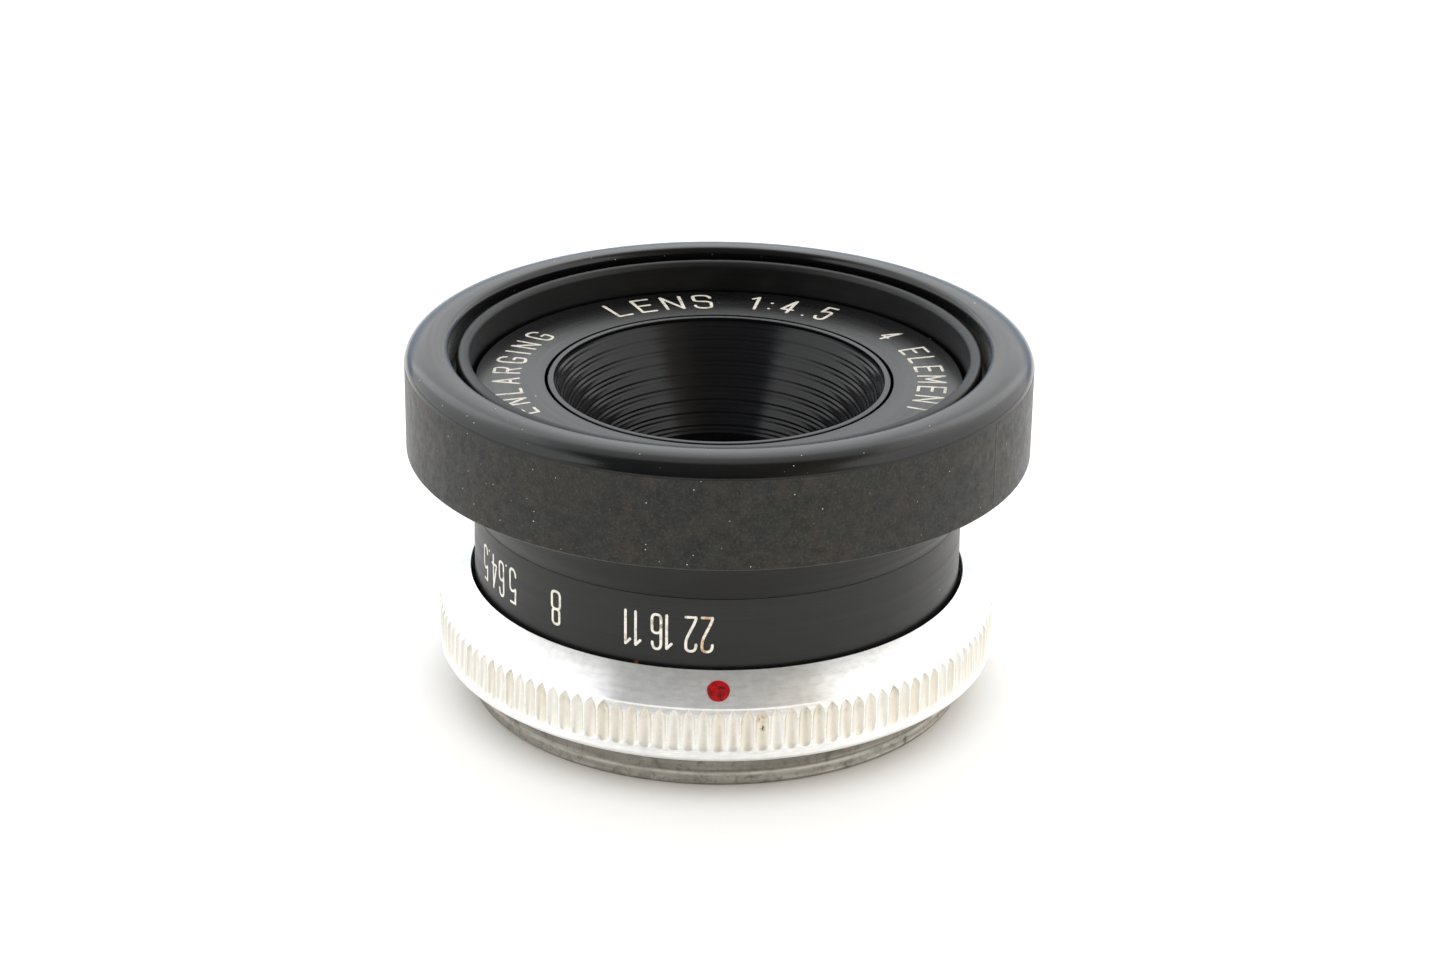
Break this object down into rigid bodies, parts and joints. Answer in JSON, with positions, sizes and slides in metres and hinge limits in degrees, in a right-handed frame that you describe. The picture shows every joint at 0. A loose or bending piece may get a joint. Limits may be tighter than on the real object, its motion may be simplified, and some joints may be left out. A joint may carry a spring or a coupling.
{
  "type": "enlarger lens",
  "caption": "Short enlarger lens with a screw mount, a fluted silver flange, a turning aperture ring with a thick hand grip, a ridged front cone and an iris.",
  "frame": {"origin": "middle of the rear face of the mounting thread, on the optical axis", "axes": "+Z along the optical axis towards the front (name) side; the index dot faces -Y"},
  "size_m": [0.0482, 0.0482, 0.0281],
  "materials": {
    "raw_thread_metal": "turned, dull",
    "bright_aluminium": "brushed around the axis",
    "red_enamel": "gloss enamel",
    "black_anodised": "matte black",
    "satin_black": "satin black anodised",
    "name_ring_black": "satin black with white lettering",
    "gloss_black": "gloss black",
    "grip_moulding": "mottled moulded phenolic, polished top edge",
    "coated_glass": "single coated optical glass",
    "brass_washer": "plain",
    "steel_screw": "plain",
    "blued_steel": "matte blackened steel",
    "white_fill": "engraving paint"
  },
  "bodies": {
    "root": {"mount_thread_ring": "raw_thread_metal", "knurled_flange": "bright_aluminium", "index_dot": "red_enamel", "lens_barrel": "black_anodised", "friction_washer": "brass_washer", "rear_cell": "black_anodised", "rear_outer_element": "coated_glass", "rear_inner_element": "coated_glass", "rear_retaining_ring": "black_anodised", "iris_pivot_plate": "black_anodised", "iris_retaining_ring": "black_anodised", "front_cell": "black_anodised", "second_element": "coated_glass", "element_spacer": "black_anodised", "front_element": "coated_glass", "front_hood": "gloss_black", "name_ring": "name_ring_black"},
    "aperture_ring": {"scale_sleeve": "satin_black", "grip_carrier": "satin_black", "grip_ring": "grip_moulding", "iris_drive_ring": "brass_washer", "drive_screw": "steel_screw", "carrier_grub_screws": "steel_screw"},
    "blade_1": {"iris_blade_1": "blued_steel"},
    "blade_2": {"iris_blade_2": "blued_steel"},
    "blade_3": {"iris_blade_3": "blued_steel"},
    "blade_4": {"iris_blade_4": "blued_steel"},
    "blade_5": {"iris_blade_5": "blued_steel"},
    "blade_6": {"iris_blade_6": "blued_steel"},
    "blade_7": {"iris_blade_7": "blued_steel"},
    "blade_8": {"iris_blade_8": "blued_steel"}
  },
  "joints": [
    {"name": "aperture_turn", "type": "hinge", "parent": "root", "child": "aperture_ring", "pos_m": [0, 0, 0.0152], "axis": [0, 0, 1], "range_deg": [0, 66]},
    {"name": "blade_1_swing", "type": "hinge", "parent": "root", "child": "blade_1", "pos_m": [0.01489, 0.00303, 0.0071], "axis": [0, 0, 1], "range_deg": [-26, 0]},
    {"name": "blade_2_swing", "type": "hinge", "parent": "root", "child": "blade_2", "pos_m": [0.00839, 0.01268, 0.00725], "axis": [0, 0, 1], "range_deg": [-26, 0]},
    {"name": "blade_3_swing", "type": "hinge", "parent": "root", "child": "blade_3", "pos_m": [-0.00303, 0.01489, 0.0074], "axis": [0, 0, 1], "range_deg": [-26, 0]},
    {"name": "blade_4_swing", "type": "hinge", "parent": "root", "child": "blade_4", "pos_m": [-0.01268, 0.00839, 0.00755], "axis": [0, 0, 1], "range_deg": [-26, 0]},
    {"name": "blade_5_swing", "type": "hinge", "parent": "root", "child": "blade_5", "pos_m": [-0.01489, -0.00303, 0.0077], "axis": [0, 0, 1], "range_deg": [-26, 0]},
    {"name": "blade_6_swing", "type": "hinge", "parent": "root", "child": "blade_6", "pos_m": [-0.00839, -0.01268, 0.00785], "axis": [0, 0, 1], "range_deg": [-26, 0]},
    {"name": "blade_7_swing", "type": "hinge", "parent": "root", "child": "blade_7", "pos_m": [0.00303, -0.01489, 0.008], "axis": [0, 0, 1], "range_deg": [-26, 0]},
    {"name": "blade_8_swing", "type": "hinge", "parent": "root", "child": "blade_8", "pos_m": [0.01268, -0.00839, 0.00815], "axis": [0, 0, 1], "range_deg": [-26, 0]}
  ],
  "couplings": [
    {"joint": "blade_1_swing", "follows": "aperture_turn", "ratio": -0.39344},
    {"joint": "blade_2_swing", "follows": "aperture_turn", "ratio": -0.39344},
    {"joint": "blade_3_swing", "follows": "aperture_turn", "ratio": -0.39344},
    {"joint": "blade_4_swing", "follows": "aperture_turn", "ratio": -0.39344},
    {"joint": "blade_5_swing", "follows": "aperture_turn", "ratio": -0.39344},
    {"joint": "blade_6_swing", "follows": "aperture_turn", "ratio": -0.39344},
    {"joint": "blade_7_swing", "follows": "aperture_turn", "ratio": -0.39344},
    {"joint": "blade_8_swing", "follows": "aperture_turn", "ratio": -0.39344}
  ]
}
